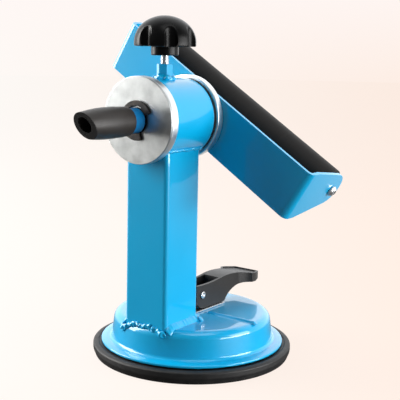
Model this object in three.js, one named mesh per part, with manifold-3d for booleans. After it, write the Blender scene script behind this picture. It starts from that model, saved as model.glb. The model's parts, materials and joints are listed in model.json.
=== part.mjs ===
// A suction-foot bench stand: a rubber vacuum pad drawn up by a cam lever under a pressed steel cap, a square
// column, a clamped swivelling head and a C-shaped bracket that carries a long rubber roller.
// Millimetres, +Z up. The origin is the centre of the pad's underside, the hand grip points to -Y and the arm's
// lower end to +X.
import * as THREE from "three";
import { mergeVertices } from "three/addons/utils/BufferGeometryUtils.js";
import Module from "manifold-3d";

const wasm = await Module();
wasm.setup();

// Gaps.
const GAP = 0.3; // between pieces that rest on each other
const RUN = 0.1; // radial play of a running fit

// Suction foot.
const PAD_RADIUS = 60;
const PAD_HEIGHT = 7.4;
const PAD_POCKET_RADIUS = 25;
const PAD_POCKET_FLOOR = 3.6;
const FLANGE_RADIUS = 55;
const FLANGE_EDGE = 7.8; // underside of the cap's flange at its rim
const CAP_TOP = 26;
const CAP_SHEET = 1.6;
const CAP_WALL_RADIUS = 47.5; // at the shoulder
const CAP_SHOULDER = 5;
const CAP_FOOT_FILLET = 2.6;
const CAP_FILLET_CENTRE = CAP_WALL_RADIUS + 1.1 + CAP_FOOT_FILLET; // the wall leans out by 1.1 at its foot
const CAP_FILLET_HEIGHT = FLANGE_EDGE + CAP_SHEET + 0.5 + CAP_FOOT_FILLET;
const CAP_BOLT_HOLE = 4.6;
const RIB_FROM = 13;
const RIB_TO = 45;
const RIB_RADIUS = 1.8;

// Cam, lever and the stud that lifts the pad.
const PIN_HEIGHT = 36;
const PIN_RADIUS = 2.15;
const PIN_HALF_LENGTH = 8.4;
const PLATE_THICKNESS = 1;
const PLATE_TOP = CAP_TOP + 0.1 + PLATE_THICKNESS;
const LIFT = 3; // how far the stud drops when the lever is stood up
const LEVER_ANGLE = THREE.MathUtils.degToRad(85);
const LEVER_HALF_WIDTH = 7.5;
const PADDLE_HALF_WIDTH = 12.5;
const LEVER_TIP = 58.5;
const EYE_HALF_WIDTH = 2.5;
const EYE_RADIUS = 4.4;
const STEM_RADIUS = 2.8;
const LIFT_PLATE_RADIUS = 22;
const LIFT_PLATE_BOTTOM = 7.1;
const LIFT_PLATE_THICKNESS = 2;
const SPRING_RADIUS = 9;
const SPRING_WIRE = 0.8;
const SPRING_TURNS = 4;

// Column and head.
const HEAD_Y = -30; // the column's and the clamp screw's place behind the hand grip
const COLUMN_SIDE = 30;
const COLUMN_WALL = 2;
const COLUMN_CORNER = 2.5;
const AXIS_Z = 144;
const DRUM_RADIUS = 22.25;
const DRUM_WALL = 2.6;
const DRUM_FRONT = -46.6;
const DRUM_REAR = -12.2;
const BUSH_LENGTH = 11;
const AXLE_RADIUS = 7;
const AXLE_FRONT = -79;
const AXLE_REAR = -2.9;
const DISC_RADIUS = 24.1;
const WASHER_FRONT = -53.25;
const WASHER_REAR = -51.8;
const REAR_DISC_FRONT = -10.8;
const REAR_DISC_REAR = -6.2;
const CLIP_RADIUS = 11;
const CLIP_THICKNESS = 1.25;

// Clamp screw.
const STUD_RADIUS = 2.4;
const BOSS_ACROSS_FLATS = 8;
const BOSS_TOP = 174.3;
const BOSS_TURN = THREE.MathUtils.degToRad(-35);
const KNOB_RADIUS = 17.5;
const KNOB_TOP = 201;
const KNOB_RIM = 184;
const COLLAR_RADIUS = 7.75;
const COLLAR_BOTTOM = 179;
const KNOB_FLUTES = 7;
const FLUTE_RADIUS = 3.9;
const FLUTE_CIRCLE = 18;
const FLUTE_START = THREE.MathUtils.degToRad(-40);

// Arm: the bracket and its roller, in a frame turned about the swivel axis.
const ARM_TILT = THREE.MathUtils.degToRad(32);
const ARM_LEFT = -67.8;
const ARM_RIGHT = 84.6;
const ARM_BOTTOM = -9.8;
const ARM_TOP = 21.1;
const ARM_FACE = -5.9;
const ARM_SHEET = 2;
const ARM_BEND = 4;
const ROLLER_Y = 30.9;
const ROLLER_Z = 5.65;
const ROLLER_RADIUS = 11.5;
const ROLLER_CORE_RADIUS = 6;
const ROLLER_ROD_RADIUS = 3.2;
const SCREW_RADIUS = 1.9;
const SCREW_HEAD_RADIUS = 3.3;
const SCREW_HEAD_HEIGHT = 2.4;

const finish = (color, roughness, metalness) => new THREE.MeshStandardMaterial({ color, roughness, metalness });
const enamel = finish(0x18a4df, 0.3, 0);
const zinc = finish(0xc9ced1, 0.35, 1);
const steel = finish(0xdfe2e4, 0.25, 1);
const brass = finish(0xb9923f, 0.35, 1);
const rubber = finish(0x1d1d1f, 0.85, 0);
const plastic = finish(0x19191b, 0.45, 0);
const nylon = finish(0x101012, 0.6, 0);

const stand = new THREE.Group();
const head = new THREE.Group(); // on the swivel axis, unturned
head.position.set(0, 0, AXIS_Z);
const arm = new THREE.Group(); // local X along the roller, local Z square to it
arm.position.set(0, 0, AXIS_Z);
arm.rotation.y = ARM_TILT;
stand.add(head, arm);

function place(parent, name, geometry, material) {
  const mesh = new THREE.Mesh(geometry, material);
  mesh.name = name;
  parent.add(mesh);
}

// Solids for cutting and joining.
function solid(geometry) {
  const plain = geometry.index ? geometry.toNonIndexed() : geometry.clone();
  plain.deleteAttribute("normal");
  plain.deleteAttribute("uv");
  const merged = mergeVertices(plain, 1e-4);
  const vertProperties = merged.attributes.position.array;
  const triVerts = new Uint32Array(merged.index.array);
  return new wasm.Manifold(new wasm.Mesh({ numProp: 3, vertProperties, triVerts }));
}

function geometryOf(shape) {
  const { vertProperties, triVerts } = shape.getMesh();
  const indexed = new THREE.BufferGeometry();
  indexed.setAttribute("position", new THREE.BufferAttribute(new Float32Array(vertProperties), 3));
  indexed.setIndex(new THREE.BufferAttribute(new Uint32Array(triVerts), 1));
  const flat = indexed.toNonIndexed();
  flat.computeVertexNormals();
  return flat;
}

// Profiles are [radius, height] points: up the outside, inwards over the top and down the inside.
const revolveY = (profile, segments = 36) =>
  new THREE.LatheGeometry(profile.map(([radius, along]) => new THREE.Vector2(radius, along)), segments);
const revolveZ = (profile, segments) => revolveY(profile, segments).rotateX(Math.PI / 2);
const revolveX = (profile, segments) => revolveY(profile, segments).rotateZ(-Math.PI / 2);

const rod = (radius, from, to) => [[0, from], [radius, from], [radius, to], [0, to]];
const ring = (outer, inner, from, to, chamfer = 0) => [
  [inner, from],
  [outer - chamfer, from],
  ...(chamfer ? [[outer, from + chamfer], [outer, to - chamfer]] : [[outer, from]]),
  [outer - chamfer, to],
  [inner, to],
  [inner, from],
];

function arc(centreA, centreB, radius, fromDegrees, toDegrees, steps) {
  return Array.from({ length: steps + 1 }, (_, i) => {
    const angle = THREE.MathUtils.degToRad(fromDegrees + ((toDegrees - fromDegrees) * i) / steps);
    return [centreA + radius * Math.cos(angle), centreB + radius * Math.sin(angle)];
  });
}

const outline = (points) => new THREE.Shape(points.map(([a, b]) => new THREE.Vector2(a, b)));

// An outline of (X, Y) points, extruded along Z.
const extrudeZ = (shape, from, to) =>
  new THREE.ExtrudeGeometry(shape, { depth: to - from, bevelEnabled: false, curveSegments: 8 }).translate(0, 0, from);
// An outline of (Y, Z) points, extruded along X.
const extrudeX = (shape, from, to) =>
  extrudeZ(shape, from, to).applyMatrix4(
    new THREE.Matrix4().makeBasis(
      new THREE.Vector3(0, 1, 0),
      new THREE.Vector3(0, 0, 1),
      new THREE.Vector3(1, 0, 0),
    ),
  );

const box = (low, high) =>
  new THREE.BoxGeometry(high[0] - low[0], high[1] - low[1], high[2] - low[2]).translate(
    (low[0] + high[0]) / 2,
    (low[1] + high[1]) / 2,
    (low[2] + high[2]) / 2,
  );

function roundedSquare(half, corner) {
  const c = half - corner;
  return outline([
    ...arc(c, c, corner, 0, 90, 4),
    ...arc(-c, c, corner, 90, 180, 4),
    ...arc(-c, -c, corner, 180, 270, 4),
    ...arc(c, -c, corner, 270, 360, 4),
  ]);
}

// The rubber pad: a flat sealing face with a relief groove, a rounded rim and a pocket for the lift plate.
function suctionPad() {
  const grooveIn = 47;
  const grooveOut = 51;
  const grooveDepth = 0.9;
  const rim = 1.6;
  return revolveZ(
    [
      [0, 0],
      [grooveIn, 0],
      [grooveIn + grooveDepth, grooveDepth],
      [grooveOut - grooveDepth, grooveDepth],
      [grooveOut, 0],
      [PAD_RADIUS - 1.5, 0],
      [PAD_RADIUS - 0.9, 0.8],
      [PAD_RADIUS, PAD_HEIGHT / 2],
      ...arc(PAD_RADIUS - rim, PAD_HEIGHT - rim, rim, 0, 90, 3),
      [PAD_POCKET_RADIUS, PAD_HEIGHT],
      [PAD_POCKET_RADIUS, PAD_POCKET_FLOOR],
      [0, PAD_POCKET_FLOOR],
    ],
    44,
  );
}

// The cap's outside from its rim to its middle, grown by a gap where a neighbour has to clear it.
function capOutside(gap) {
  return [
    [FLANGE_RADIUS + gap, FLANGE_EDGE + CAP_SHEET - 0.2 + gap],
    ...arc(CAP_FILLET_CENTRE, CAP_FILLET_HEIGHT, CAP_FOOT_FILLET - gap, 270, 180, 3),
    ...arc(CAP_WALL_RADIUS - CAP_SHOULDER, CAP_TOP - CAP_SHOULDER, CAP_SHOULDER + gap, 0, 90, 5),
  ];
}

// The pressed cap, open below, with two ribs pressed up across its top.
function suctionCap() {
  const shell = revolveZ(
    [
      [FLANGE_RADIUS, FLANGE_EDGE],
      ...capOutside(0),
      [CAP_BOLT_HOLE, CAP_TOP],
      [CAP_BOLT_HOLE, CAP_TOP - CAP_SHEET],
      ...arc(CAP_WALL_RADIUS - CAP_SHOULDER, CAP_TOP - CAP_SHOULDER, CAP_SHOULDER - CAP_SHEET, 90, 0, 3),
      ...arc(CAP_FILLET_CENTRE, CAP_FILLET_HEIGHT, CAP_FOOT_FILLET + CAP_SHEET, 180, 270, 2),
      [FLANGE_RADIUS, FLANGE_EDGE],
    ],
    44,
  );
  const rib = (side) =>
    new THREE.CapsuleGeometry(RIB_RADIUS, RIB_TO - RIB_FROM, 3, 10)
      .rotateZ(Math.PI / 2)
      .translate((side * (RIB_FROM + RIB_TO)) / 2, 0, CAP_TOP - 0.5);
  return geometryOf(solid(shell).add(solid(rib(1))).add(solid(rib(-1))));
}

function camPlate() {
  const blank = box([-8.6, -11, PLATE_TOP - PLATE_THICKNESS], [8.6, 22, PLATE_TOP]);
  const slot = revolveZ(rod(4.4, CAP_TOP - 2, PLATE_TOP + 2), 24);
  return geometryOf(solid(blank).subtract(solid(slot)));
}

// The cam's edge keeps the same small gap to the plate while the lever turns and the pin drops: its distance from
// the pin, square to the plate, falls evenly with the lever's angle.
function camEdge() {
  const steps = 10;
  const drop = LIFT / LEVER_ANGLE;
  const locked = PIN_HEIGHT - PLATE_TOP - GAP;
  return Array.from({ length: steps + 1 }, (_, i) => {
    const angle = (LEVER_ANGLE * i) / steps;
    const reach = locked - drop * angle;
    return [
      drop * Math.cos(angle) - reach * Math.sin(angle),
      PIN_HEIGHT - reach * Math.cos(angle) - drop * Math.sin(angle),
    ];
  });
}

function leverSide(lowered) {
  const cam = camEdge().reverse();
  const shape = new THREE.Shape();
  const front = cam[0][0];
  shape.moveTo(front, 42.3 - lowered);
  cam.forEach(([y, z]) => shape.lineTo(y, z - lowered));
  shape.lineTo(23.2, PLATE_TOP + GAP - lowered);
  shape.quadraticCurveTo(29, 36.2 - lowered, 46, 35.6 - lowered);
  shape.lineTo(LEVER_TIP, 35.2 - lowered);
  shape.lineTo(LEVER_TIP, 40.2 - lowered);
  shape.lineTo(46, 41.6 - lowered);
  shape.quadraticCurveTo(30, 44.4 - lowered, 21, 43.2 - lowered);
  shape.quadraticCurveTo(8, 41.2 - lowered, front, 42.3 - lowered);
  return shape;
}

// The lever from above: a narrow body that flares into a paddle with cut corners.
function leverPlan(inset, from) {
  const shape = new THREE.Shape();
  const body = LEVER_HALF_WIDTH - inset;
  const paddle = PADDLE_HALF_WIDTH - inset;
  const tip = LEVER_TIP - inset + 0.5;
  shape.moveTo(-body, from);
  shape.lineTo(body, from);
  shape.lineTo(body, 37);
  shape.quadraticCurveTo(body + 0.8, 43, paddle, 46.5);
  shape.lineTo(paddle, 50.5);
  shape.lineTo(9.5 - inset / 2, tip - 1.5);
  shape.quadraticCurveTo(9 - inset / 2, tip, 7 - inset / 2, tip);
  shape.lineTo(inset / 2 - 7, tip);
  shape.quadraticCurveTo(inset / 2 - 9, tip, inset / 2 - 9.5, tip - 1.5);
  shape.lineTo(-paddle, 50.5);
  shape.lineTo(-paddle, 46.5);
  shape.quadraticCurveTo(-body - 0.8, 43, -body, 37);
  return shape;
}

function camLever() {
  const rim = 1.3;
  const dish = 0.9;
  const above = 60;
  const body = solid(extrudeX(leverSide(0), -PADDLE_HALF_WIDTH - 1, PADDLE_HALF_WIDTH + 1));
  const plan = solid(extrudeZ(leverPlan(0, -10), 20, above));
  const lowered = solid(extrudeX(leverSide(dish), -PADDLE_HALF_WIDTH - 1, PADDLE_HALF_WIDTH + 1));
  const dishTool = solid(extrudeZ(leverPlan(rim, 40), 38.2, above)).subtract(lowered);
  const pocket = solid(box([-5.6, -10, 32.5], [5.6, 19, above]));
  const channel = solid(box([-EYE_HALF_WIDTH - 0.6, -10, 20], [EYE_HALF_WIDTH + 0.6, 5.4, above]));
  const pinHole = solid(revolveX(rod(PIN_RADIUS + 0.2, -15, 15), 24).translate(0, 0, PIN_HEIGHT));
  return geometryOf(
    body.intersect(plan).subtract(dishTool).subtract(pocket).subtract(channel).subtract(pinHole),
  );
}

function leverPin() {
  const bevel = 0.4;
  const end = PIN_HALF_LENGTH;
  return revolveX(
    [
      [0, -end],
      [PIN_RADIUS - bevel, -end],
      [PIN_RADIUS, bevel - end],
      [PIN_RADIUS, end - bevel],
      [PIN_RADIUS - bevel, end],
      [0, end],
    ],
    24,
  ).translate(0, 0, PIN_HEIGHT);
}

function pullStud() {
  const eye = solid(revolveX(rod(EYE_RADIUS, -EYE_HALF_WIDTH, EYE_HALF_WIDTH), 24).translate(0, 0, PIN_HEIGHT));
  const stem = solid(revolveZ(rod(STEM_RADIUS, LIFT_PLATE_BOTTOM + 0.1, PIN_HEIGHT), 24));
  const hole = solid(revolveX(rod(PIN_RADIUS + RUN, -5, 5), 24).translate(0, 0, PIN_HEIGHT));
  return geometryOf(eye.add(stem).subtract(hole));
}

const liftPlate = () =>
  revolveZ(
    ring(LIFT_PLATE_RADIUS, STEM_RADIUS + RUN, LIFT_PLATE_BOTTOM, LIFT_PLATE_BOTTOM + LIFT_PLATE_THICKNESS, 0.3),
    28,
  );

class Helix extends THREE.Curve {
  constructor(radius, turns, bottom, top) {
    super();
    Object.assign(this, { radius, turns, bottom, top });
  }
  getPoint(t, target = new THREE.Vector3()) {
    const angle = 2 * Math.PI * this.turns * t;
    const height = this.bottom + (this.top - this.bottom) * t;
    return target.set(this.radius * Math.cos(angle), this.radius * Math.sin(angle), height);
  }
}

function returnSpring() {
  const bottom = LIFT_PLATE_BOTTOM + LIFT_PLATE_THICKNESS + GAP + SPRING_WIRE;
  const top = CAP_TOP - CAP_SHEET - GAP - SPRING_WIRE;
  const wire = outline(arc(0, 0, SPRING_WIRE, 0, 300, 5));
  const extrudePath = new Helix(SPRING_RADIUS, SPRING_TURNS, bottom, top);
  return new THREE.ExtrudeGeometry(wire, { steps: 10 * SPRING_TURNS, extrudePath, bevelEnabled: false });
}

// The square tube, cut to the head above and to the cap's shoulder below.
function columnTube() {
  const section = roundedSquare(COLUMN_SIDE / 2, COLUMN_CORNER);
  section.holes.push(roundedSquare(COLUMN_SIDE / 2 - COLUMN_WALL, COLUMN_CORNER - 1));
  const tube = extrudeZ(section, CAP_TOP - 1, AXIS_Z - 14).translate(0, HEAD_Y, 0);
  const drum = revolveY(rod(DRUM_RADIUS + GAP, -60, 0), 36).translate(0, 0, AXIS_Z);
  const cap = revolveZ([[0, 0], [FLANGE_RADIUS + GAP, 0], ...capOutside(GAP), [0, CAP_TOP + GAP]], 44);
  return geometryOf(solid(tube).subtract(solid(drum)).subtract(solid(cap)));
}

function headTube() {
  const tube = revolveY(ring(DRUM_RADIUS, DRUM_RADIUS - DRUM_WALL, DRUM_FRONT, DRUM_REAR));
  const hole = revolveZ(rod(STUD_RADIUS + 0.4, 10, 30), 20).translate(0, HEAD_Y, 0);
  return geometryOf(solid(tube).subtract(solid(hole)));
}

function clampBoss() {
  const bottom = AXIS_Z + DRUM_RADIUS - 2;
  const across = BOSS_ACROSS_FLATS / Math.sqrt(3);
  const hexagon = outline(arc(0, 0, across, 0, 300, 5));
  const nut = extrudeZ(hexagon, bottom, BOSS_TOP).rotateZ(BOSS_TURN).translate(0, HEAD_Y, 0);
  const drum = revolveY(rod(DRUM_RADIUS + GAP, -60, 0), 36).translate(0, 0, AXIS_Z);
  const thread = revolveZ(rod(STUD_RADIUS + RUN, bottom - 5, BOSS_TOP + 5), 20).translate(0, HEAD_Y, 0);
  return geometryOf(solid(nut).subtract(solid(drum)).subtract(solid(thread)));
}

// Flanged nylon bushes; only the rear one's flange shows, between the drum and the rear disc.
const bushBody = DRUM_RADIUS - DRUM_WALL - GAP; // outer radius of the part inside the drum
const bushFront = () => revolveY(ring(bushBody, AXLE_RADIUS + RUN, DRUM_FRONT + 0.1, DRUM_FRONT + BUSH_LENGTH));
const bushRear = () =>
  revolveY([
    [AXLE_RADIUS + RUN, DRUM_REAR - BUSH_LENGTH],
    [bushBody, DRUM_REAR - BUSH_LENGTH],
    [bushBody, DRUM_REAR + 0.1],
    [DRUM_RADIUS, DRUM_REAR + 0.1],
    [DRUM_RADIUS, REAR_DISC_FRONT - 0.2],
    [AXLE_RADIUS + RUN, REAR_DISC_FRONT - 0.2],
    [AXLE_RADIUS + RUN, DRUM_REAR - BUSH_LENGTH],
  ]);

function axle() {
  const grooveRadius = AXLE_RADIUS - 0.7;
  const grooveRear = WASHER_FRONT - 0.05;
  const grooveFront = grooveRear - CLIP_THICKNESS - 0.2;
  return revolveY([
    [0, AXLE_FRONT],
    [AXLE_RADIUS - 1, AXLE_FRONT],
    [AXLE_RADIUS, AXLE_FRONT + 1],
    [AXLE_RADIUS, grooveFront],
    [grooveRadius, grooveFront],
    [grooveRadius, grooveRear],
    [AXLE_RADIUS, grooveRear],
    [AXLE_RADIUS, AXLE_REAR],
    [0, AXLE_REAR],
  ]);
}

const disc = (front, rear) => revolveY(ring(DISC_RADIUS, AXLE_RADIUS + RUN, front, rear, 0.4), 40);

// An open clip: a broad outer arc with three short fingers that reach into the axle's groove.
function retainingClip() {
  const finger = AXLE_RADIUS - 0.4;
  const hollow = AXLE_RADIUS + 1.1;
  const openFrom = 24;
  const openTo = 291;
  const fingerSpan = 34;
  const middle = (openFrom + openTo) / 2;
  const shape = outline([
    ...arc(0, 0, CLIP_RADIUS, openFrom, openTo, 22),
    ...arc(0, 0, finger, openTo, openTo - fingerSpan, 4),
    ...arc(0, 0, hollow, openTo - fingerSpan - 6, middle + fingerSpan / 2 + 6, 5),
    ...arc(0, 0, finger, middle + fingerSpan / 2, middle - fingerSpan / 2, 4),
    ...arc(0, 0, hollow, middle - fingerSpan / 2 - 6, openFrom + fingerSpan + 6, 5),
    ...arc(0, 0, finger, openFrom + fingerSpan, openFrom, 4),
  ]);
  const front = WASHER_FRONT - 0.1 - CLIP_THICKNESS;
  return extrudeZ(shape, 0, CLIP_THICKNESS)
    .rotateX(Math.PI / 2)
    .translate(0, front + CLIP_THICKNESS, 0);
}

// A hollow rubber sleeve pushed over the axle's end, cut off at a slant in front. The blank reaches past the cut.
function handGrip() {
  const tip = -108;
  const cut = -94; // where the slant crosses the axis
  const slant = THREE.MathUtils.degToRad(28);
  const rear = -62.4;
  const bore = AXLE_RADIUS + RUN;
  const mouth = 4.2;
  const sleeve = revolveY(
    [
      [mouth, tip],
      [6.1, tip],
      [6.7, -98],
      [7.5, -92],
      [8.2, -86],
      [8.5, -79],
      [8.5, -74],
      [8.2, -67],
      [8, rear - 0.6],
      [7.7, rear],
      [bore, rear],
      [bore, AXLE_FRONT - GAP],
      [mouth, AXLE_FRONT - GAP - 1],
      [mouth, tip],
    ],
    28,
  );
  const waste = box([-20, -40, -30], [20, 0, 30]).rotateX(slant).translate(0, cut, 0);
  return geometryOf(solid(sleeve).subtract(solid(waste)));
}

const clampStud = () => revolveZ(rod(STUD_RADIUS, AXIS_Z + AXLE_RADIUS + 2.6, KNOB_RIM + 6), 20);
const clampPad = () => revolveZ(rod(3, AXIS_Z + AXLE_RADIUS + 0.4, AXIS_Z + AXLE_RADIUS + 2.3), 20);

// A domed star knob over a round collar, with flutes whose arches end on the dome.
function clampKnob() {
  const bore = STUD_RADIUS + RUN;
  const boreTop = KNOB_RIM + 6.3;
  const domeCentre = KNOB_RIM + 2.2;
  const domeHeight = KNOB_TOP - domeCentre;
  const dome = arc(0, 0, 1, 0, 90, 8).map(([a, b]) => [KNOB_RADIUS * a, domeCentre + domeHeight * b]);
  dome[dome.length - 1][0] = 0;
  let knob = solid(
    revolveZ(
      [
        [0, boreTop],
        [bore, boreTop],
        [bore, COLLAR_BOTTOM],
        [COLLAR_RADIUS - 0.4, COLLAR_BOTTOM],
        [COLLAR_RADIUS, COLLAR_BOTTOM + 0.4],
        [COLLAR_RADIUS, KNOB_RIM],
        [KNOB_RADIUS - 0.6, KNOB_RIM],
        [KNOB_RADIUS, KNOB_RIM + 0.6],
        ...dome,
      ],
      35,
    ),
  );
  for (let i = 0; i < KNOB_FLUTES; i += 1) {
    const angle = FLUTE_START + (2 * Math.PI * i) / KNOB_FLUTES;
    const flute = revolveZ(rod(FLUTE_RADIUS, KNOB_RIM - 1, KNOB_TOP), 16);
    flute.translate(FLUTE_CIRCLE * Math.cos(angle), FLUTE_CIRCLE * Math.sin(angle), 0);
    knob = knob.subtract(solid(flute));
  }
  return geometryOf(knob);
}

// One sheet bent into a C: a long wall with an end flange at each side, both tapering to a round tip.
function rollerBracket() {
  const inner = ARM_BEND - ARM_SHEET;
  const back = ARM_FACE + ARM_BEND;
  const reach = 45; // past the flanges' tips, which the side outline cuts
  const tipRadius = 10.5;
  const taperFrom = 3;
  const bent = outline([
    [ARM_LEFT, reach],
    ...arc(ARM_LEFT + ARM_BEND, back, ARM_BEND, 180, 270, 6),
    ...arc(ARM_RIGHT - ARM_BEND, back, ARM_BEND, 270, 360, 6),
    [ARM_RIGHT, reach],
    [ARM_RIGHT - ARM_SHEET, reach],
    ...arc(ARM_RIGHT - ARM_BEND, back, inner, 360, 270, 6),
    ...arc(ARM_LEFT + ARM_BEND, back, inner, 270, 180, 6),
    [ARM_LEFT + ARM_SHEET, reach],
  ]);
  const side = outline([
    [ARM_FACE - 3, ARM_BOTTOM],
    [taperFrom, ARM_BOTTOM],
    ...arc(29, 6.5, tipRadius, -75, 80, 10),
    [taperFrom, ARM_TOP],
    [ARM_FACE - 3, ARM_TOP],
  ]);
  const axleHole = revolveY(rod(AXLE_RADIUS + 0.3, -20, 10), 32);
  const screwHole = revolveX(rod(SCREW_RADIUS + 0.3, ARM_LEFT - 5, ARM_RIGHT + 5), 20).translate(
    0,
    ROLLER_Y,
    ROLLER_Z,
  );
  return geometryOf(
    solid(extrudeZ(bent, ARM_BOTTOM, ARM_TOP))
      .intersect(solid(extrudeX(side, ARM_LEFT - 5, ARM_RIGHT + 5)))
      .subtract(solid(axleHole))
      .subtract(solid(screwHole)),
  );
}

// Roller pieces lie along local X, on the roller's axis.
const rollerFrom = ARM_LEFT + ARM_SHEET;
const rollerTo = ARM_RIGHT - ARM_SHEET;
const onRoller = (geometry) => geometry.translate(0, ROLLER_Y, ROLLER_Z);
const rollerSleeve = () =>
  revolveX(ring(ROLLER_RADIUS, ROLLER_CORE_RADIUS + RUN, rollerFrom + 1.4, rollerTo - 1.4, 0.8), 36);
const rollerCore = () => revolveX(ring(ROLLER_CORE_RADIUS, 4.6, rollerFrom + 1.7, rollerTo - 1.7), 24);
const rollerRod = () =>
  revolveX(
    [
      [0, rollerFrom + 12],
      [SCREW_RADIUS + RUN, rollerFrom + 12],
      [SCREW_RADIUS + RUN, rollerFrom + GAP],
      [ROLLER_ROD_RADIUS, rollerFrom + GAP],
      [ROLLER_ROD_RADIUS, rollerTo - GAP],
      [SCREW_RADIUS + RUN, rollerTo - GAP],
      [SCREW_RADIUS + RUN, rollerTo - 12],
      [0, rollerTo - 12],
    ],
    20,
  );

// A flanged nylon plug in the core's end, for the left end; the right one is the same piece turned round.
const rollerPlug = () =>
  revolveX(
    [
      [ROLLER_ROD_RADIUS + RUN, 0.5],
      [ROLLER_CORE_RADIUS, 0.5],
      [ROLLER_CORE_RADIUS, 1.5],
      [4.4, 1.5],
      [4.4, 12],
      [ROLLER_ROD_RADIUS + RUN, 12],
      [ROLLER_ROD_RADIUS + RUN, 0.5],
    ],
    24,
  );

// A button-head screw whose head rests on X = 0, with its shank towards +X.
function endScrew() {
  const head = solid(
    revolveX(
      [
        [0, -SCREW_HEAD_HEIGHT],
        [SCREW_HEAD_RADIUS - 1.1, -SCREW_HEAD_HEIGHT],
        [SCREW_HEAD_RADIUS - 0.3, 0.8 - SCREW_HEAD_HEIGHT],
        [SCREW_HEAD_RADIUS, 1.4 - SCREW_HEAD_HEIGHT],
        [SCREW_HEAD_RADIUS, -GAP],
        [SCREW_RADIUS, -GAP],
        [SCREW_RADIUS, 11],
        [0, 11],
      ],
      18,
    ),
  );
  const socket = solid(extrudeX(outline(arc(0, 0, 1.4, 0, 300, 5)), -5, 1.1 - SCREW_HEAD_HEIGHT));
  return geometryOf(head.subtract(socket));
}

place(stand, "suction_pad", suctionPad(), rubber);
place(stand, "suction_cap", suctionCap(), enamel);
place(stand, "cam_plate", camPlate(), steel);
place(stand, "cam_lever", camLever(), plastic);
place(stand, "lever_pin", leverPin(), steel);
place(stand, "pull_stud", pullStud(), steel);
place(stand, "lift_plate", liftPlate(), steel);
place(stand, "return_spring", returnSpring(), steel);
place(stand, "column_tube", columnTube(), enamel);
place(stand, "clamp_boss", clampBoss(), enamel);
for (const [name, geometry, material] of [
  ["clamp_stud", clampStud(), zinc],
  ["clamp_pad", clampPad(), brass],
  ["clamp_knob", clampKnob(), plastic],
]) {
  place(stand, name, geometry.translate(0, HEAD_Y, 0), material);
}

place(head, "head_tube", headTube(), enamel);
place(head, "bush_front", bushFront(), nylon);
place(head, "bush_rear", bushRear(), nylon);
place(head, "axle", axle(), enamel);
place(head, "front_washer", disc(WASHER_FRONT, WASHER_REAR), zinc);
place(head, "front_disc", disc(WASHER_REAR + 0.1, DRUM_FRONT - GAP), zinc);
place(head, "rear_disc", disc(REAR_DISC_FRONT, REAR_DISC_REAR), zinc);
place(head, "retaining_clip", retainingClip(), nylon);
place(head, "hand_grip", handGrip(), rubber);

place(arm, "roller_bracket", rollerBracket(), enamel);
place(arm, "roller_sleeve", onRoller(rollerSleeve()), rubber);
place(arm, "roller_core", onRoller(rollerCore()), steel);
place(arm, "roller_rod", onRoller(rollerRod()), steel);
place(arm, "roller_plug_left", onRoller(rollerPlug().translate(rollerFrom, 0, 0)), nylon);
place(arm, "roller_plug_right", onRoller(rollerPlug().rotateZ(Math.PI).translate(rollerTo, 0, 0)), nylon);
place(arm, "end_screw_left", onRoller(endScrew().translate(ARM_LEFT, 0, 0)), zinc);
place(arm, "end_screw_right", onRoller(endScrew().rotateZ(Math.PI).translate(ARM_RIGHT, 0, 0)), zinc);

export default stand;
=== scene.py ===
import json
import math
import random

import bmesh
import bpy
from mathutils import Matrix, Vector, noise


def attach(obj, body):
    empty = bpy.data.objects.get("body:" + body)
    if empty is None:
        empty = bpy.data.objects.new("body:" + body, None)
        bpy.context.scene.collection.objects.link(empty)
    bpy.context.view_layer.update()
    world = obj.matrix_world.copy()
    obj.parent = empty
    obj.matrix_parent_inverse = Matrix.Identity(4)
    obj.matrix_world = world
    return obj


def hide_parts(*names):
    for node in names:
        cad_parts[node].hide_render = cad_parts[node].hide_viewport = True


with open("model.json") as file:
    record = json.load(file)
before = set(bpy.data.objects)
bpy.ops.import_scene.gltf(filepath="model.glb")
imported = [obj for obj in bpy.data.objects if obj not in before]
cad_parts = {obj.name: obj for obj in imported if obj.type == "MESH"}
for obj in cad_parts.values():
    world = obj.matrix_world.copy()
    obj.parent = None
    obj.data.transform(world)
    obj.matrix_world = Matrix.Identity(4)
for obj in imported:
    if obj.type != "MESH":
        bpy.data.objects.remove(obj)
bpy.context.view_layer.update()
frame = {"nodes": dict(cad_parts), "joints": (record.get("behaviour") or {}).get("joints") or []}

# The looks of a suction-foot roller stand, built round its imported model. Shapes are worked out in
# millimetres and turned into metres when a piece is finished.
MM = 0.001


def span(node, axes=Matrix.Identity(4)):
    """Lowest and highest corners of a CAD node in millimetres, in the stand's axes or in turned ones."""
    back = axes.inverted()
    points = [back @ (vertex.co / MM) for vertex in frame["nodes"][node].data.vertices]
    low = Vector([min(point[i] for point in points) for i in range(3)])
    high = Vector([max(point[i] for point in points) for i in range(3)])
    return low, high


def joint_named(name):
    return next(joint for joint in frame["joints"] if joint["name"] == name)


# Suction foot.
PAD_RADIUS = span("suction_pad")[1].x
PAD_TOP = span("suction_pad")[1].z
FLANGE_RADIUS = span("suction_cap")[1].x
FLANGE_EDGE = span("suction_cap")[0].z
CAP_TOP = span("cam_plate")[0].z - 0.1
CAP_SHEET = 1.6
CAP_WALL_RADIUS = FLANGE_RADIUS - 7.5
CAP_SHOULDER = 5.0
CAP_FILLET = 2.1
CAP_HOLE = 4.6
RIB_FROM = 13.0
RIB_TO = 45.0
RIB_HALF_WIDTH = 1.7
RIB_HEIGHT = 1.2

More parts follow.
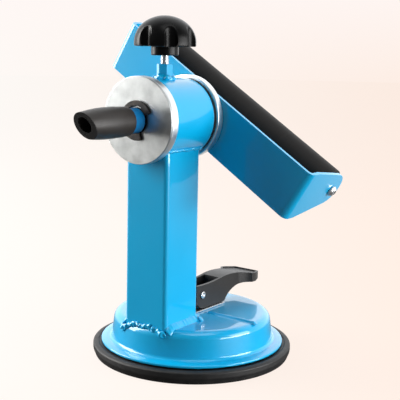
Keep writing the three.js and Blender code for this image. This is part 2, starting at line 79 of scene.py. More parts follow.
# Column and head.
COLUMN = span("column_tube")
COLUMN_HALF = COLUMN[1].x
COLUMN_Y = (COLUMN[0].y + COLUMN[1].y) / 2
COLUMN_CORNER = 2.4
COLUMN_WALL = 2.0
COLUMN_GAP = 0.25  # from the tube's ends to the drum and the cap, under the welds
DRUM = span("head_tube")
DRUM_RADIUS = DRUM[1].x
DRUM_WALL = 2.6
AXIS_Z = (DRUM[0].z + DRUM[1].z) / 2
AXLE_RADIUS = span("axle")[1].x
GRIP_SLANT = math.radians(28)
GRIP_CUT_Y = -94.0  # where the slanted cut crosses the axis
BORE_PLAY = 0.1

# Clamp screw.
CLAMP_Y = (span("clamp_stud")[0].y + span("clamp_stud")[1].y) / 2
STUD_RADIUS = span("clamp_stud")[1].x
THREAD_PITCH = 0.8
KNOB_BOTTOM = span("clamp_knob")[0].z
KNOB_TOP = span("clamp_knob")[1].z
KNOB_RADIUS = 17.5
KNOB_RIM = KNOB_BOTTOM + 5.0
COLLAR_RADIUS = 7.75
FLUTES = 7
FLUTE_RADIUS = 3.9
FLUTE_CIRCLE = 18.0
FLUTE_START = math.radians(-40)

# Arm: local X along the roller, turned about the swivel.
ROLLER_AXIS = Vector(joint_named("roller_spin")["axis"])
ARM_TILT = math.atan2(-ROLLER_AXIS.z, ROLLER_AXIS.x)
SWIVEL = Matrix.Translation((0, 0, AXIS_Z))
ARM = SWIVEL @ Matrix.Rotation(ARM_TILT, 4, "Y")
BRACKET = span("roller_bracket", ARM)
BRACKET_SHEET = 2.0
SLEEVE = span("roller_sleeve", ARM)
ROLLER_RADIUS = (SLEEVE[1].z - SLEEVE[0].z) / 2
ROLLER_BORE = 6.1
ROLLER_PLACE = Matrix.Translation((0, (SLEEVE[0].y + SLEEVE[1].y) / 2, (SLEEVE[0].z + SLEEVE[1].z) / 2))

ALONG_Y = Matrix.Rotation(math.radians(-90), 4, "X")
ALONG_X = Matrix.Rotation(math.radians(90), 4, "Y")


# ---------------------------------------------------------------- shader values


class Value:
    """A shader socket. Arithmetic on it adds the Math nodes that work the result out."""

    def __init__(self, wiring, socket):
        self.wiring = wiring
        self.socket = socket

    def __add__(self, other):
        return self.wiring.maths("ADD", self, other)

    def __sub__(self, other):
        return self.wiring.maths("SUBTRACT", self, other)

    def __mul__(self, other):
        return self.wiring.maths("MULTIPLY", self, other)

    def __pow__(self, other):
        return self.wiring.maths("POWER", self, other)

    __radd__ = __add__
    __rmul__ = __mul__


def rgba(colour):
    return colour if isinstance(colour, Value) else (*colour, 1)


class Wiring:
    """Adds nodes to a material or a world."""

    def __init__(self, owner):
        owner.use_nodes = True
        self.tree = owner.node_tree
        self.tree.nodes.clear()

    @staticmethod
    def pick(sockets, label):
        if isinstance(label, int):
            return sockets[label]
        return next(socket for socket in sockets if socket.enabled and socket.name == label)

    def feed(self, socket, value):
        if isinstance(value, Value):
            self.tree.links.new(value.socket, socket)
        else:
            socket.default_value = value

    def node(self, kind, settings=None, inputs=None, output=0):
        """Any node: its settings first, then the values or links of its sockets."""
        made = self.tree.nodes.new("ShaderNode" + kind)
        for label, value in (settings or {}).items():
            if label == "stops":
                self.set_stops(made.color_ramp, value)
            else:
                setattr(made, label, value)
        for label, value in (inputs or {}).items():
            self.feed(self.pick(made.inputs, label), value)
        if not made.outputs:
            return None
        return Value(self, self.pick(made.outputs, output))

    @staticmethod
    def set_stops(ramp, stops):
        while len(ramp.elements) < len(stops):
            ramp.elements.new(1.0)
        for element, (position, grey) in zip(ramp.elements, stops):
            element.position = position
            element.color = (grey, grey, grey, 1)

    def maths(self, operation, first, second):
        return self.node("Math", {"operation": operation}, {0: first, 1: second})

    def dot(self, vector, axis):
        return self.node("VectorMath", {"operation": "DOT_PRODUCT"}, {0: vector, 1: axis}, "Value")

    def ramp(self, value, *stops):
        """Grey by value, from stops of (value, grey)."""
        return self.node("ValToRGB", {"stops": stops}, {"Fac": value})

    def mixed(self, share, first, second):
        """A colour between two colours."""
        inputs = {"Factor": share, "A": rgba(first), "B": rgba(second)}
        return self.node("Mix", {"data_type": "RGBA"}, inputs, output="Result")


class Finish(Wiring):
    """A procedural material round one Principled shader."""

    def __init__(self, name, **constants):
        self.material = bpy.data.materials.new(name)
        super().__init__(self.material)
        shader = self.node("BsdfPrincipled")
        self.shader = shader.socket.node
        self.node("OutputMaterial", inputs={"Surface": shader})
        for label, value in constants.items():
            self.set(label.replace("_", " "), value)
        self.place = self.node("TexCoord", output="Object")

    def set(self, label, value):
        """Sets or links one of the shader's own sockets."""
        self.feed(self.pick(self.shader.inputs, label), value)

    def noise(self, size, detail=2.0, roughness=0.5, stretch=(1, 1, 1), turn=(0, 0, 0)):
        """Noise from 0 to 1 whose features are about this many millimetres across, times the stretch."""
        scale = [1 / (size * MM * share) for share in stretch]
        place = self.node("Mapping", {"vector_type": "TEXTURE"}, {"Vector": self.place, "Rotation": turn})
        place = self.node("Mapping", {}, {"Vector": place, "Scale": scale})
        inputs = {"Vector": place, "Scale": 1, "Detail": detail, "Roughness": roughness}
        return self.node("TexNoise", {}, inputs)

    def bump(self, height, depth):
        """Surface relief: a height from 0 to 1 stands this many millimetres proud."""
        inputs = {"Height": height, "Distance": depth * MM, "Strength": 1.0}
        self.set("Normal", self.node("Bump", {}, inputs))


# ---------------------------------------------------------------- finishes


def enamel(name, peel_depth, peel_size):
    """Glossy cyan-blue enamel with an orange peel of this depth and size in millimetres."""
    finish = Finish(name, Specular_IOR_Level=0.25, Coat_Weight=0.9, Coat_Roughness=0.035)
    cloud = finish.noise(38, 3)
    finish.set("Base Color", finish.mixed(cloud, (0.0, 0.35, 0.65), (0.0, 0.395, 0.715)))
    finish.set("Roughness", 0.26 + 0.12 * finish.noise(9, 4))
    finish.bump(finish.noise(peel_size, 2, 0.4), peel_depth)
    return finish.material


def shaded_bar_enamel():
    """The blue enamel darkened to stand for shade on the bar, and near black as shade in the clip's groove.
    """
    finish = Finish("shaded_bar_enamel", Specular_IOR_Level=0.25, Coat_Weight=0.9, Coat_Roughness=0.06)
    along = finish.node("SeparateXYZ", {}, {"Vector": finish.place}, "Y") * (1 / MM)
    overlap = 0.15
    groove_from = span("retaining_clip")[0].y - overlap
    groove_to = span("retaining_clip")[1].y + overlap
    middle = (groove_from + groove_to) / 2
    half_width = (groove_to - groove_from) / 2
    past_groove = (along - middle) ** 2 - half_width**2
    # Shade given as colour: near black where the clip's groove lies, by how far along the bar a point is.
    clear_of_groove_shade = finish.ramp(past_groove + 0.5, (0.45, 0.0), (0.6, 1.0))
    cloud = finish.noise(3, 3)
    # A darker copy of the blue enamel, standing for the shade on the bar.
    blue = finish.mixed(cloud, (0.0, 0.15, 0.4), (0.0, 0.2, 0.5))
    finish.set("Base Color", finish.mixed(clear_of_groove_shade, (0.004, 0.005, 0.007), blue))
    finish.set("Roughness", 0.3 + 0.12 * finish.noise(4, 4))
    finish.bump(finish.noise(1.2, 3, 0.5), 0.01)
    return finish.material


def zinc(name, dull, bright):
    """Zinc plating between two greys: softly clouded, with fine upright brushing."""
    finish = Finish(name, Metallic=1.0)
    clouds = finish.ramp(finish.noise(6, 5, 0.65), (0.3, 0.0), (0.7, 1.0))
    brushing = finish.noise(0.8, 4, 0.7, stretch=(0.3, 0.3, 9))
    shade = 0.55 * clouds + 0.45 * brushing
    finish.set("Base Color", finish.mixed(shade, dull, bright))
    finish.set("Roughness", 0.24 + 0.1 * clouds + 0.14 * brushing)
    finish.bump(brushing, 0.002)
    return finish.material


def steel(name, roughness):
    """Bright steel with fine, level machining lines."""
    finish = Finish(name, Metallic=1.0)
    lines = finish.noise(0.5, 3, 0.6, stretch=(6, 6, 0.5))
    finish.set("Base Color", finish.mixed(finish.noise(5, 3), (0.66, 0.67, 0.68), (0.84, 0.85, 0.86)))
    finish.set("Roughness", roughness + 0.14 * lines)
    finish.bump(lines, 0.006)
    return finish.material


def plastic(name, roughness, grain_depth, shade, gloss):
    """Black moulded plastic of about this shade, with a fine spark-eroded grain."""
    finish = Finish(name, Specular_IOR_Level=gloss)
    cloud = finish.noise(14, 3)
    dark = (shade * 0.8, shade * 0.78, shade * 0.8)
    light = (shade * 1.3, shade * 1.24, shade * 1.22)
    finish.set("Base Color", finish.mixed(cloud, dark, light))
    finish.set("Roughness", roughness + 0.1 * finish.noise(3, 4))
    finish.bump(finish.noise(0.45, 3, 0.7), grain_depth)
    return finish.material


def clip_black():
    """Black oxide on spring steel, worn a little browner in places."""
    finish = Finish("clip_black", Metallic=0.35)
    patches = finish.ramp(finish.noise(2.6, 5, 0.6), (0.4, 0.0), (0.7, 1.0))
    finish.set("Base Color", finish.mixed(patches, (0.012, 0.011, 0.011), (0.04, 0.028, 0.022)))
    finish.set("Roughness", 0.34 + 0.2 * patches)
    finish.bump(finish.noise(0.6, 4), 0.01)
    return finish.material


def grip_rubber():
    """Satin dark rubber, slightly brown where it catches the light and dull black where it is cut."""
    finish = Finish("grip_rubber", IOR=1.45)
    cloud = finish.noise(7, 4, 0.6)
    skin = finish.mixed(cloud, (0.016, 0.0135, 0.012), (0.026, 0.0215, 0.019))
    outwards = Vector((0, -math.cos(GRIP_SLANT), -math.sin(GRIP_SLANT)))
    cut_height = outwards.dot(Vector((0, GRIP_CUT_Y, AXIS_Z)))
    height = finish.dot(finish.place, outwards / MM)
    cut = finish.ramp(height - cut_height + 1, (0.45, 0.0), (0.75, 1.0))
    finish.set("Base Color", finish.mixed(cut, skin, (0.002, 0.002, 0.002)))
    finish.set("Roughness", 0.4 + 0.14 * finish.noise(2.2, 4) + 0.4 * cut)
    finish.bump(finish.noise(0.5, 3, 0.7), 0.02)
    return finish.material


def roller_rubber():
    """Matte black rubber with the fine rings that grinding leaves round the roller."""
    finish = Finish("roller_rubber", Specular_IOR_Level=0.25)
    turn = (0, ARM_TILT, 0)
    rings = finish.noise(1, 3, 0.6, stretch=(0.8, 60, 60), turn=turn)
    dust = finish.noise(5, 5, 0.65)
    finish.set("Base Color", finish.mixed(dust, (0.004, 0.0035, 0.003), (0.011, 0.009, 0.008)))
    finish.set("Roughness", 0.5 + 0.12 * rings + 0.08 * dust)
    finish.bump(rings, 0.03)
    return finish.material


def pad_rubber():
    """Matte black moulded rubber with a dry bloom."""
    finish = Finish("pad_rubber", IOR=1.45)
    bloom = finish.ramp(finish.noise(6, 5, 0.65), (0.35, 0.0), (0.8, 1.0))
    finish.set("Base Color", finish.mixed(bloom, (0.006, 0.006, 0.0065), (0.017, 0.016, 0.016)))
    finish.set("Roughness", 0.5 + 0.15 * bloom)
    finish.bump(finish.noise(0.7, 4, 0.65), 0.03)
    return finish.material


def brass():
    """Turned brass."""
    finish = Finish("pad_brass", Metallic=1.0)
    lines = finish.noise(0.6, 3, 0.6, stretch=(5, 5, 0.4))
    finish.set("Base Color", finish.mixed(finish.noise(3, 3), (0.62, 0.45, 0.18), (0.78, 0.6, 0.27)))
    finish.set("Roughness", 0.28 + 0.16 * lines)
    finish.bump(lines, 0.006)
    return finish.material


BLUE = enamel("blue_enamel", peel_depth=0.012, peel_size=2.2)
WELD_BLUE = enamel("weld_enamel", peel_depth=0.05, peel_size=1.2)
# The bar's enamel is darkened, and black in its groove, to stand for shade.
SHADED_BAR_BLUE = shaded_bar_enamel()
# The second zinc is the same plating made brighter, a highlight given as colour for the bright bands round
# the discs' rims.
ZINC_FACE = zinc("zinc_plate", dull=(0.4, 0.42, 0.425), bright=(0.64, 0.66, 0.66))
ZINC_LIT_COPY = zinc("zinc_lit_copy", dull=(0.74, 0.76, 0.77), bright=(0.93, 0.94, 0.94))
STEEL = steel("bright_steel", roughness=0.2)
THREAD_ZINC = steel("thread_zinc", roughness=0.24)
SCREW_ZINC = steel("screw_zinc", roughness=0.36)
KNOB_BLACK = plastic("knob_black", roughness=0.24, grain_depth=0.006, shade=0.003, gloss=0.14)
LEVER_BLACK = plastic("lever_black", roughness=0.38, grain_depth=0.02, shade=0.013, gloss=0.4)
NYLON = plastic("black_nylon", roughness=0.5, grain_depth=0.015, shade=0.006, gloss=0.3)
CLIP = clip_black()
GRIP = grip_rubber()
ROLLER = roller_rubber()
PAD = pad_rubber()
BRASS = brass()


# ---------------------------------------------------------------- shapes


def rounded(corners, closed=False, steps=4):
    """Rounds a profile of (radius, along) or (radius, along, rounding) corners."""
    points = []
    last = len(corners) - 1
    for i, corner in enumerate(corners):
        here = Vector(corner[:2])
        if len(corner) == 2 or (not closed and i in (0, last)):
            points.append(here)
            continue
        before = Vector(corners[i - 1][:2])
        after = Vector(corners[(i + 1) % len(corners)][:2])
        start = here + (before - here).normalized() * corner[2]
        end = here + (after - here).normalized() * corner[2]
        for k in range(steps + 1):
            t = k / steps
            points.append(start * (1 - t) ** 2 + here * 2 * t * (1 - t) + end * t * t)
    if closed:
        points.append(points[0])
    return points


def arc(centre, radius, start, end, steps):
    """Points of an arc, from start to end degrees."""
    angles = [math.radians(start + (end - start) * k / steps) for k in range(steps + 1)]
    return [(centre[0] + radius * math.cos(a), centre[1] + radius * math.sin(a)) for a in angles]


def turned(profile, segments=96):
    """A profile spun about Z into a closed skin."""
    shape = bmesh.new()
    points = [shape.verts.new((point[0], 0, point[1])) for point in profile]
    edges = [shape.edges.new(pair) for pair in zip(points, points[1:])]
    bmesh.ops.spin(
        shape,
        geom=points + edges,
        cent=(0, 0, 0),
        axis=(0, 0, 1),
        angle=2 * math.pi,
        steps=segments,
        use_merge=True,
    )
    bmesh.ops.remove_doubles(shape, verts=shape.verts, dist=1e-4)
    bmesh.ops.recalc_face_normals(shape, faces=shape.faces)
    return shape


def ring(outer, inner, start, end, rounding=0.4, segments=128):
    """A plain turned ring with softened edges."""
    corners = [
        (outer, start, rounding),
        (outer, end, rounding),
        (inner, end, rounding / 2),
        (inner, start, rounding / 2),
    ]
    return turned(rounded(corners, closed=True), segments)


def bevelled(shape, width, over_degrees=25, segments=2):
    """Softens the edges that are sharper than the given angle."""
    limit = math.radians(over_degrees)
    sharp = [edge for edge in shape.edges if edge.is_manifold and edge.calc_face_angle() > limit]
    bmesh.ops.bevel(
        shape,
        geom=sharp,
        offset=width,
        offset_type="OFFSET",
        affect="EDGES",
        segments=segments,
        profile=0.5,
        clamp_overlap=True,
        material=-1,
    )
    return shape


def refined(node, width, over_degrees=25, segments=2):
    """A merged copy of a CAD node, with softened edges, in millimetres."""
    shape = bmesh.new()
    shape.from_mesh(frame["nodes"][node].data)
    bmesh.ops.scale(shape, vec=(1 / MM,) * 3, verts=shape.verts)
    bmesh.ops.remove_doubles(shape, verts=shape.verts, dist=0.01)
    bmesh.ops.dissolve_degenerate(shape, edges=shape.edges, dist=0.01)
    bmesh.ops.dissolve_limit(shape, angle_limit=math.radians(1), verts=shape.verts, edges=shape.edges)
    return bevelled(shape, width, over_degrees, segments)


def joined(shape, other):
    """Adds another shape as a loose part of the first."""
    spare = bpy.data.meshes.new("spare")
    other.to_mesh(spare)
    other.free()
    shape.from_mesh(spare)
    bpy.data.meshes.remove(spare)
    return shape


def finished(name, shape, place, body, material, replaces=(), crease=35):
    """Makes a shape in millimetres a piece in metres that rides on a body."""
    bmesh.ops.transform(shape, matrix=Matrix.Scale(MM, 4) @ place, verts=shape.verts)
    mesh = bpy.data.meshes.new(name)
    shape.to_mesh(mesh)
    shape.free()
    mesh.polygons.foreach_set("use_smooth", [True] * len(mesh.polygons))
    mesh.set_sharp_from_angle(angle=math.radians(crease))
    mesh.materials.append(material)
    piece = bpy.data.objects.new(name, mesh)
    bpy.context.scene.collection.objects.link(piece)
    weighted = piece.modifiers.new("even_shading", "WEIGHTED_NORMAL")
    weighted.keep_sharp = True
    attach(piece, body)
    if replaces:
        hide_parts(*replaces)
    return piece


HERE = Matrix.Identity(4)


# ---------------------------------------------------------------- suction foot


def suction_pad():
    """A grooved sealing face, a side with a moulded line, and a rounded rim with a shallow step on top."""
    side = PAD_RADIUS
    profile = rounded(
        [
            (0, 0),
            (47, 0, 0.2),
            (47.9, 0.9, 0.3),
            (50.1, 0.9, 0.3),
            (51, 0, 0.2),
            (side - 1.5, 0, 0.3),
            (side - 1.1, 0.7, 0.3),
            (side - 0.6, 2.6, 0.2),
            (side - 0.3, 2.7, 0.15),
            (side, 3.6, 0.5),
            (side, PAD_TOP - 0.7, 0.7),
            (side - 1.6, PAD_TOP, 0.8),
            (side - 3.2, PAD_TOP, 0.25),
            (side - 3.6, PAD_TOP - 0.5, 0.25),
            (FLANGE_RADIUS - 4, PAD_TOP - 0.5, 0.25),
            (FLANGE_RADIUS - 4.4, PAD_TOP, 0.25),
            (25, PAD_TOP, 0.3),
            (25, 3.6, 0.3),
            (0, 3.6),
        ],
    )
    finished("rubber_pad", turned(profile, 192), HERE, "root", PAD, ["suction_pad"])


def cap_shoulder_height(radius):
    """Height of the cap's outside over a point this far from its middle."""
    past = max(0.0, radius - (CAP_WALL_RADIUS - CAP_SHOULDER))
    return CAP_TOP - CAP_SHOULDER + math.sqrt(max(0.0, CAP_SHOULDER**2 - past**2))


def cap_rib(side):
    """A pressed crease: a narrow bell-shaped swelling with round ends, sunk a little into the cap."""
    middle = side * (RIB_FROM + RIB_TO) / 2
    half = (RIB_TO - RIB_FROM) / 2
    sunk = 0.3
    shape = bmesh.new()
    bmesh.ops.create_grid(shape, x_segments=80, y_segments=20, size=1)
    bmesh.ops.scale(shape, vec=(half + RIB_HALF_WIDTH, RIB_HALF_WIDTH, 1), verts=shape.verts)
    for vertex in shape.verts:
        past = max(0.0, abs(vertex.co.x) - half)
        share = min(1.0, math.hypot(past, vertex.co.y) / RIB_HALF_WIDTH)
        vertex.co.z = RIB_HEIGHT * math.cos(share * math.pi / 2) ** 1.6
    top = shape.faces[:]
    bottom = bmesh.ops.extrude_face_region(shape, geom=top)["geom"]
    for vertex in bottom:
        if isinstance(vertex, bmesh.types.BMVert):
            vertex.co.z = -sunk
    bmesh.ops.translate(shape, vec=(middle, 0, CAP_TOP), verts=shape.verts)
    bmesh.ops.recalc_face_normals(shape, faces=shape.faces)
    return shape


def suction_cap():
    """The pressed cap, with a rolled flange edge and its two ribs."""
    foot = CAP_WALL_RADIUS + 1.2
    fillet = (foot + CAP_FILLET, FLANGE_EDGE + CAP_SHEET + 0.5 + CAP_FILLET)
    shoulder = (CAP_WALL_RADIUS - CAP_SHOULDER, CAP_TOP - CAP_SHOULDER)
    profile = [
        *rounded(
            [
                (FLANGE_RADIUS - 1, FLANGE_EDGE),
                (FLANGE_RADIUS, FLANGE_EDGE, 0.55),
                (FLANGE_RADIUS, FLANGE_EDGE + CAP_SHEET - 0.2, 0.55),
                (fillet[0] + 1.2, fillet[1] - CAP_FILLET + 0.05),
            ]
        ),
        *arc(fillet, CAP_FILLET, 262, 184, 8),
        *arc(shoulder, CAP_SHOULDER, 2, 90, 14),
        (CAP_HOLE, CAP_TOP),
        (CAP_HOLE, CAP_TOP - CAP_SHEET),
        *arc(shoulder, CAP_SHOULDER - CAP_SHEET, 90, 2, 8),
        *arc(fillet, CAP_FILLET + CAP_SHEET, 184, 268, 8),
        (FLANGE_RADIUS - 1, FLANGE_EDGE),
    ]
    shape = turned(profile, 192)
    for side in (1, -1):
        joined(shape, cap_rib(side))
    finished("pressed_cap", shape, HERE, "root", BLUE, ["suction_cap"])


def cam_and_lever():
    """The thin plate, the lever that rides on it and the stud's eye, with softened edges."""
    finished("cam_rest", refined("cam_plate", 0.2), HERE, "root", STEEL, ["cam_plate"])
    lever = refined("cam_lever", 0.4, 30, 3)
    finished("flip_lever", lever, HERE, "lever", LEVER_BLACK, ["cam_lever"])
    finished("eye_stud", refined("pull_stud", 0.3), HERE, "lifter", STEEL, ["pull_stud"])


def lever_pin():
    """A bright pin with a small centre mark in each end."""
    low, high = span("lever_pin")
    radius = (high.y - low.y) / 2
    end = high.x
    profile = rounded(
        [
            (0, -end + 0.35),
            (0.5, -end, 0.1),
            (radius, -end, 0.45),
            (radius, end, 0.45),
            (0.5, end, 0.1),
            (0, end - 0.35),
        ]
    )
    place = Matrix.Translation((0, 0, (low.z + high.z) / 2)) @ ALONG_X
    finished("cam_pin", turned(profile, 48), place, "lifter", STEEL, ["lever_pin"])


# ---------------------------------------------------------------- column and head


def saddle_height(x):
    """Height of the drum's underside over this place across the column."""
    return AXIS_Z - math.sqrt((DRUM_RADIUS + COLUMN_GAP) ** 2 - x**2)


def column():
    """The square tube, its ends shaped to the drum above and the cap below."""
    cuts = 14
    shape = bmesh.new()
    bmesh.ops.create_grid(shape, x_segments=1, y_segments=1, size=COLUMN_HALF)
    bmesh.ops.bevel(
        shape,
        geom=shape.verts[:],
        offset=COLUMN_CORNER,
        offset_type="OFFSET",
        affect="VERTICES",
        segments=8,
        profile=0.5,
        material=-1,
    )
    bmesh.ops.inset_region(
        shape, faces=shape.faces[:], thickness=COLUMN_WALL, use_boundary=True, use_even_offset=True
    )
    middle = max(shape.faces, key=lambda face: face.calc_area())
    bmesh.ops.delete(shape, geom=[middle], context="FACES")
    for normal in ((1, 0, 0), (0, 1, 0)):
        for k in range(1, cuts):
            at = (2 * k / cuts - 1) * (COLUMN_HALF - COLUMN_CORNER)
            bmesh.ops.bisect_plane(
                shape,
                geom=shape.verts[:] + shape.edges[:] + shape.faces[:],
                plane_co=Vector(normal) * at,
                plane_no=normal,
            )
    bmesh.ops.translate(shape, vec=(0, COLUMN_Y, 0), verts=shape.verts)
    lower = shape.verts[:]
    raised = bmesh.ops.extrude_face_region(shape, geom=shape.faces[:])["geom"]
    for vertex in raised:
        if isinstance(vertex, bmesh.types.BMVert):
            vertex.co.z = saddle_height(vertex.co.x)
    for vertex in lower:
        vertex.co.z = cap_shoulder_height(math.hypot(vertex.co.x, vertex.co.y)) + COLUMN_GAP
    bmesh.ops.recalc_face_normals(shape, faces=shape.faces)
    finished("square_column", shape, HERE, "root", BLUE, ["column_tube"])


def drum():
    shape = ring(DRUM_RADIUS, DRUM_RADIUS - DRUM_WALL, DRUM[0].y, DRUM[1].y, 0.5, 160)
    finished("drum", shape, SWIVEL @ ALONG_Y, "root", BLUE, ["head_tube"])


def rear_bush():
    """The black flange that shows between the drum and the rear disc."""
    low, high = span("bush_rear")
    body = DRUM_RADIUS - DRUM_WALL - 0.3
    bore = AXLE_RADIUS + BORE_PLAY
    profile = rounded(
        [
            (bore, low.y, 0.2),
            (body, low.y, 0.3),
            (body, DRUM[1].y + 0.1, 0.1),
            (DRUM_RADIUS, DRUM[1].y + 0.1, 0.2),
            (DRUM_RADIUS, high.y, 0.3),
            (bore, high.y, 0.2),
        ],
        closed=True,
    )
    shape = turned(profile, 128)
    finished("bush_flange", shape, SWIVEL @ ALONG_Y, "root", NYLON, ["bush_rear"])


def discs():
    """A thin washer in front of a disc, and a disc behind the drum."""
    # The discs take the brighter copy of the zinc: their rims' highlight given as colour.
    for node, rounding, zinc_plate in (
        ("front_washer", 0.25, ZINC_FACE),
        ("front_disc", 0.6, ZINC_LIT_COPY),
        ("rear_disc", 0.7, ZINC_LIT_COPY),
    ):
        low, high = span(node)
        shape = ring(high.x, AXLE_RADIUS + BORE_PLAY, low.y, high.y, rounding, 160)
        finished(node + "_plated", shape, SWIVEL @ ALONG_Y, "arm", zinc_plate, [node])


def axle():
    """The bar through the head, chamfered in front and grooved for its clip."""
    low, high = span("axle")
    clip_low, clip_high = span("retaining_clip")
    groove = AXLE_RADIUS - 1.2
    profile = rounded(
        [
            (0, low.y),
            (AXLE_RADIUS, low.y, 1.0),
            (AXLE_RADIUS, clip_low.y - 0.12, 0.15),
            (groove, clip_low.y - 0.12, 0.1),
            (groove, clip_high.y + 0.05, 0.1),
            (AXLE_RADIUS, clip_high.y + 0.05, 0.1),
            (AXLE_RADIUS, high.y, 0.5),
            (0, high.y),
        ]
    )
    finished("swivel_bar", turned(profile, 72), SWIVEL @ ALONG_Y, "arm", SHADED_BAR_BLUE, ["axle"])


def retaining_clip():
    shape = refined("retaining_clip", 0.22, 25, 3)
    finished("spring_clip", shape, HERE, "arm", CLIP, ["retaining_clip"])


def hand_grip():
    """A hollow sleeve that swells in its middle, cut off at a slant with a rounded lip."""
    low, high = span("hand_grip")
    bar_end = span("axle")[0].y - 0.3
    rear = high.y
    mouth = 4.2
    bore = AXLE_RADIUS + BORE_PLAY
    profile = rounded(
        [
            (6.0, low.y - 6),
            (6.7, -98, 2.5),
            (7.5, -92, 2.5),
            (8.2, -86, 3),
            (8.5, -79, 3),
            (8.5, -74, 3),
            (8.2, -67, 2),
            (8.0, rear, 0.7),
            (bore, rear, 0.2),
            (bore, bar_end, 0.3),
            (mouth, bar_end - 1, 0.5),
            (mouth, low.y - 6),
        ],
        closed=True,
    )
    shape = turned(profile, 96)
    bmesh.ops.bisect_plane(
        shape,
        geom=shape.verts[:] + shape.edges[:] + shape.faces[:],
        plane_co=(0, 0, GRIP_CUT_Y),
        plane_no=(0, math.sin(GRIP_SLANT), -math.cos(GRIP_SLANT)),
        clear_outer=True,
    )
    rims = [edge for edge in shape.edges if edge.is_boundary]
    bmesh.ops.bridge_loops(shape, edges=rims)
    bmesh.ops.recalc_face_normals(shape, faces=shape.faces)
    bmesh.ops.bevel(
        shape,
        geom=[edge for edge in rims if edge.is_valid],
        offset=0.45,
        offset_type="OFFSET",
        affect="EDGES",
        segments=4,
        profile=0.5,
        clamp_overlap=True,
        material=-1,
    )
    place = SWIVEL @ ALONG_Y
    finished("grip_sleeve", shape, place, "arm", GRIP, ["hand_grip"])


# ---------------------------------------------------------------- clamp screw


def clamp_stud():
    """A threaded rod: one pitch of its outline wound up in a helix."""
    low, high = span("clamp_stud")
    root = STUD_RADIUS - 0.45
    steps = 28
    turns = int((high.z - low.z) / THREAD_PITCH)
    shape = bmesh.new()
    outline = [(STUD_RADIUS, 0), (STUD_RADIUS, 0.14), (root, 0.4), (root, 0.54), (STUD_RADIUS, THREAD_PITCH)]
    points = [shape.verts.new((radius, 0, height)) for radius, height in outline]
    edges = [shape.edges.new(pair) for pair in zip(points, points[1:])]
    bmesh.ops.spin(
        shape,
        geom=points + edges,
        cent=(0, 0, 0),
        axis=(0, 0, 1),
        dvec=(0, 0, THREAD_PITCH / steps),
        angle=2 * math.pi * (turns - 1),
        steps=steps * (turns - 1),
    )
    bmesh.ops.remove_doubles(shape, verts=shape.verts, dist=0.01)
    ends = [edge for edge in shape.edges if edge.is_boundary]
    bmesh.ops.holes_fill(shape, edges=ends, sides=0)
    bmesh.ops.recalc_face_normals(shape, faces=shape.faces)
    place = Matrix.Translation((0, CLAMP_Y, low.z))
    finished("clamp_thread", shape, place, "clamp_screw", THREAD_ZINC, ["clamp_stud"])


def clamp_boss():
    shape = refined("clamp_boss", 0.35, 25, 3)
    finished("boss_nut", shape, HERE, "root", BLUE, ["clamp_boss"])


def flute_limit(angle):
    """How far out the knob reaches at this angle, between the scooped flutes."""
    pitch = 2 * math.pi / FLUTES
    off = (angle - FLUTE_START + pitch / 2) % pitch - pitch / 2
    across = abs(FLUTE_CIRCLE * math.sin(off))
    inwards = FLUTE_CIRCLE * math.cos(off)
    if across < FLUTE_RADIUS:
        return inwards - math.sqrt(FLUTE_RADIUS**2 - across**2)
    return inwards + 4 * (across - FLUTE_RADIUS)


def clamp_knob():
    """A domed star knob over a round collar. The flutes press the dome's side in, with rounded lips."""
    softness = 0.55
    dome_foot = KNOB_RIM + 2.2
    dome = [
        (KNOB_RADIUS * math.cos(a), dome_foot + (KNOB_TOP - dome_foot) * math.sin(a))
        for a in (math.radians(90 * k / 40) for k in range(1, 41))
    ]
    dome[-1] = (0, KNOB_TOP)
    under = [(KNOB_RADIUS - 0.9 - 0.35 * k, KNOB_RIM) for k in range(1, 24)]
    profile = [
        (0, KNOB_RIM + 6.3),
        (STUD_RADIUS + BORE_PLAY, KNOB_RIM + 6.3),
        (STUD_RADIUS + BORE_PLAY, KNOB_BOTTOM),
        *rounded(
            [
                (COLLAR_RADIUS - 3, KNOB_BOTTOM),
                (COLLAR_RADIUS, KNOB_BOTTOM, 0.7),
                (COLLAR_RADIUS, KNOB_RIM, 0.5),
                (COLLAR_RADIUS + 0.6, KNOB_RIM),
            ]
        ),
        *reversed(under),
        *rounded(
            [
                (KNOB_RADIUS - 1, KNOB_RIM),
                (KNOB_RADIUS, KNOB_RIM, 0.8),
                (KNOB_RADIUS, dome_foot),
            ]
        ),
        *dome,
    ]
    shape = turned(profile, FLUTES * 40)
    for vertex in shape.verts:
        radius = math.hypot(vertex.co.x, vertex.co.y)
        if radius <= COLLAR_RADIUS + 0.6:
            continue
        limit = flute_limit(math.atan2(vertex.co.y, vertex.co.x))
        gap = max(0.0, softness - abs(radius - limit)) / softness
        reach = min(radius, limit) - gap * gap * softness / 4
        vertex.co.x *= reach / radius
        vertex.co.y *= reach / radius
    bmesh.ops.remove_doubles(shape, verts=shape.verts, dist=0.01)
    place = Matrix.Translation((0, CLAMP_Y, 0))
    replaces = ["clamp_knob"]
    finished("star_knob", shape, place, "clamp_screw", KNOB_BLACK, replaces, crease=50)


# ---------------------------------------------------------------- arm


def bracket():
    shape = refined("roller_bracket", 0.35, 28, 3)
    finished("bent_bracket", shape, HERE, "arm", BLUE, ["roller_bracket"])


def roller_sleeve():
    place = ARM @ ROLLER_PLACE @ ALONG_X
    shape = ring(ROLLER_RADIUS, ROLLER_BORE, SLEEVE[0].x, SLEEVE[1].x, 0.9, 128)
    finished("rubber_roller", shape, place, "roller", ROLLER, ["roller_sleeve"])


